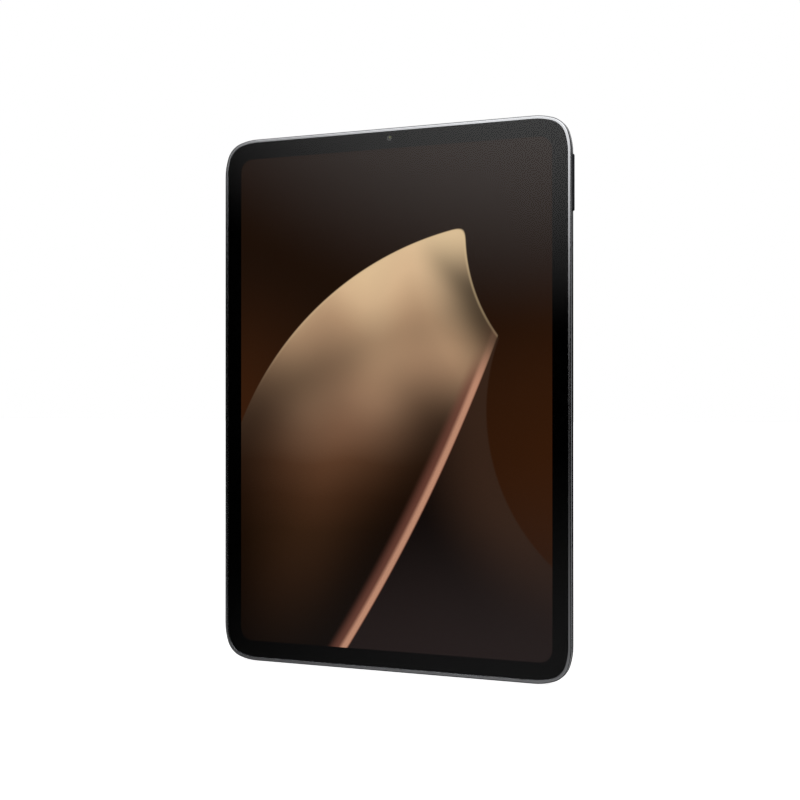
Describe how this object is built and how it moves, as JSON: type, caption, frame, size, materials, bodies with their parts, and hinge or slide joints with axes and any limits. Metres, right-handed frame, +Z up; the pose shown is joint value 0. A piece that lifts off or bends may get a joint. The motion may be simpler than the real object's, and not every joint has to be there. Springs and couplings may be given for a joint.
{
  "type": "tablet computer",
  "caption": "Slim slab tablet computer: glass screen with black border in an aluminium tray, rocking volume key, flush power key, port, sound holes, front and rear cameras.",
  "frame": {"origin": "middle of the bottom edge, half way through the body's thickness", "axes": "+X to the right as the user sees the screen, +Y out of the back so that the screen faces -Y, +Z up the long side"},
  "size_m": [0.1725, 0.0075, 0.2511],
  "materials": {
    "housing_aluminium": "bead-blasted and anodised, dark silver grey",
    "key_aluminium": "bead-blasted and anodised",
    "ring_aluminium": "turned and anodised",
    "antenna_plastic": "moulded in place, fine matt",
    "cover_glass": "polished",
    "lens_glass": "polished and coated",
    "black_print": "screen-printed black ink",
    "glue_black": "acrylic foam tape",
    "clear_glue": "clear optical glue",
    "display": "lit picture behind glass",
    "light_guide_plastic": "clear acrylic with diffusing films",
    "tray_steel": "rolled stainless sheet",
    "plate_aluminium": "rolled sheet",
    "board_laminate": "glass-epoxy laminate with solder mask",
    "chip_epoxy": "moulded epoxy",
    "shield_steel": "nickel-plated sheet",
    "graphite": "pressed graphite film",
    "battery_foil": "laminated aluminium foil pouch",
    "ribbon_polyimide": "polyimide film",
    "port_steel": "drawn stainless",
    "port_plastic": "glass-filled nylon",
    "contact_gold": "gold-plated",
    "speaker_plastic": "moulded",
    "sound_mesh": "fine woven mesh",
    "sensor_plastic": "dark clear epoxy",
    "camera_black": "matt black barrel",
    "flash_plastic": "milky polycarbonate",
    "magnet_nickel": "nickel-plated",
    "screw_steel": "black zinc-plated",
    "dome_steel": "stamped spring steel"
  },
  "bodies": {
    "tablet": {"rear_housing": "housing_aluminium", "antenna_strips": "antenna_plastic", "cover_glass": "cover_glass", "border_print": "black_print", "edge_glue": "glue_black", "optical_glue": "clear_glue", "display_cell": "display", "light_guide": "light_guide_plastic", "led_bar": "flash_plastic", "screen_tray": "tray_steel", "mid_plate": "plate_aluminium", "main_board": "board_laminate", "shield_cans": "shield_steel", "processor": "chip_epoxy", "memory_chips": "chip_epoxy", "thermal_sheet": "graphite", "battery_left_cell": "battery_foil", "battery_right_cell": "battery_foil", "battery_board": "board_laminate", "main_ribbon": "ribbon_polyimide", "display_ribbon": "ribbon_polyimide", "port_board": "board_laminate", "port_shell": "port_steel", "port_tongue": "port_plastic", "port_contacts": "contact_gold", "speaker_bottom_left": "speaker_plastic", "speaker_bottom_right": "speaker_plastic", "speaker_top_left": "speaker_plastic", "speaker_top_right": "speaker_plastic", "sound_meshes": "sound_mesh", "microphones": "shield_steel", "volume_domes": "dome_steel", "volume_switch_strip": "ribbon_polyimide", "volume_bracket": "tray_steel", "power_dome": "dome_steel", "power_switch_strip": "ribbon_polyimide", "power_bracket": "tray_steel", "front_camera": "camera_black", "front_camera_lens": "lens_glass", "light_sensor": "sensor_plastic", "camera_island": "ring_aluminium", "lens_ring": "ring_aluminium", "lens_window": "lens_glass", "rear_camera": "camera_black", "rear_camera_lens": "lens_glass", "flash_led": "flash_plastic", "flash_lens": "flash_plastic", "antennas": "ribbon_polyimide", "cover_magnets": "magnet_nickel", "screws": "screw_steel"},
    "volume_key": {"volume_rocker": "key_aluminium"},
    "power_key": {"power_button": "key_aluminium"}
  },
  "joints": [
    {"name": "volume_rock", "type": "hinge", "parent": "tablet", "child": "volume_key", "pos_m": [0.084, -0.0001, 0.2206], "axis": [0, 1, 0], "range_deg": [-1.5, 1.5], "stiffness_Nm_per_rad": 0.6},
    {"name": "power_press", "type": "slide", "parent": "tablet", "child": "power_key", "axis": [0, 0, -1], "range_m": [0, 0.0003], "stiffness_N_per_m": 2500}
  ]
}
